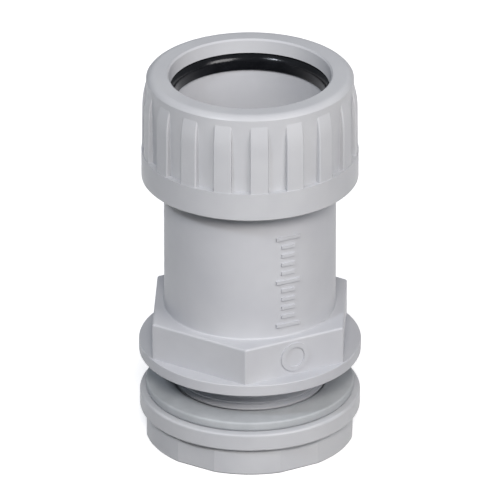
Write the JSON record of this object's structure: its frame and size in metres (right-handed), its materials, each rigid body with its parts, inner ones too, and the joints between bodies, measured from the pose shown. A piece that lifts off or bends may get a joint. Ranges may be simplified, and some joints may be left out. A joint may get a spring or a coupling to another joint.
{
  "type": "cable gland",
  "caption": "Plastic gland for rigid conduit: ribbed screw cap, socket tube, hexagon and flange, threaded entry with gasket and lock nut.",
  "frame": {"origin": "on the gland's axis, level with the lock nut's lower face", "axes": "+Z along the axis towards the conduit side; the hexagon's corners lie on the Y axis and its flats face +X and -X"},
  "size_m": [0.0466, 0.0466, 0.0825],
  "materials": {
    "body_plastic": "moulded, satin",
    "nut_plastic": "moulded, satin",
    "slip_plastic": "smooth",
    "seal_rubber": "moulded",
    "gasket_rubber": "moulded"
  },
  "bodies": {
    "gland_body": {"gland_body": "body_plastic", "sealing_ring": "seal_rubber"},
    "slip_ring": {"slip_ring": "slip_plastic"},
    "clamping_nut": {"clamping_nut": "nut_plastic"},
    "flange_gasket": {"flange_gasket": "gasket_rubber"},
    "lock_nut": {"lock_nut": "nut_plastic"}
  },
  "joints": [
    {"name": "clamping_lift", "type": "slide", "parent": "gland_body", "child": "slip_ring", "axis": [0, 0, 1], "range_m": [0, 0.012]},
    {"name": "clamping_turn", "type": "hinge", "parent": "slip_ring", "child": "clamping_nut", "pos_m": [0, 0, 0.07], "axis": [0, 0, 1], "range_deg": [0, 2160]},
    {"name": "lock_nut_travel", "type": "slide", "parent": "gland_body", "child": "flange_gasket", "axis": [0, 0, 1], "range_m": [-0.00825, 0.0069]},
    {"name": "lock_nut_turn", "type": "hinge", "parent": "flange_gasket", "child": "lock_nut", "pos_m": [0, 0, 0.005], "axis": [0, 0, 1], "range_deg": [-1980, 1656]}
  ],
  "couplings": [
    {"joint": "clamping_lift", "follows": "clamping_turn", "m_per_rad": 0.00031831},
    {"joint": "lock_nut_travel", "follows": "lock_nut_turn", "m_per_rad": 0.00023873}
  ]
}
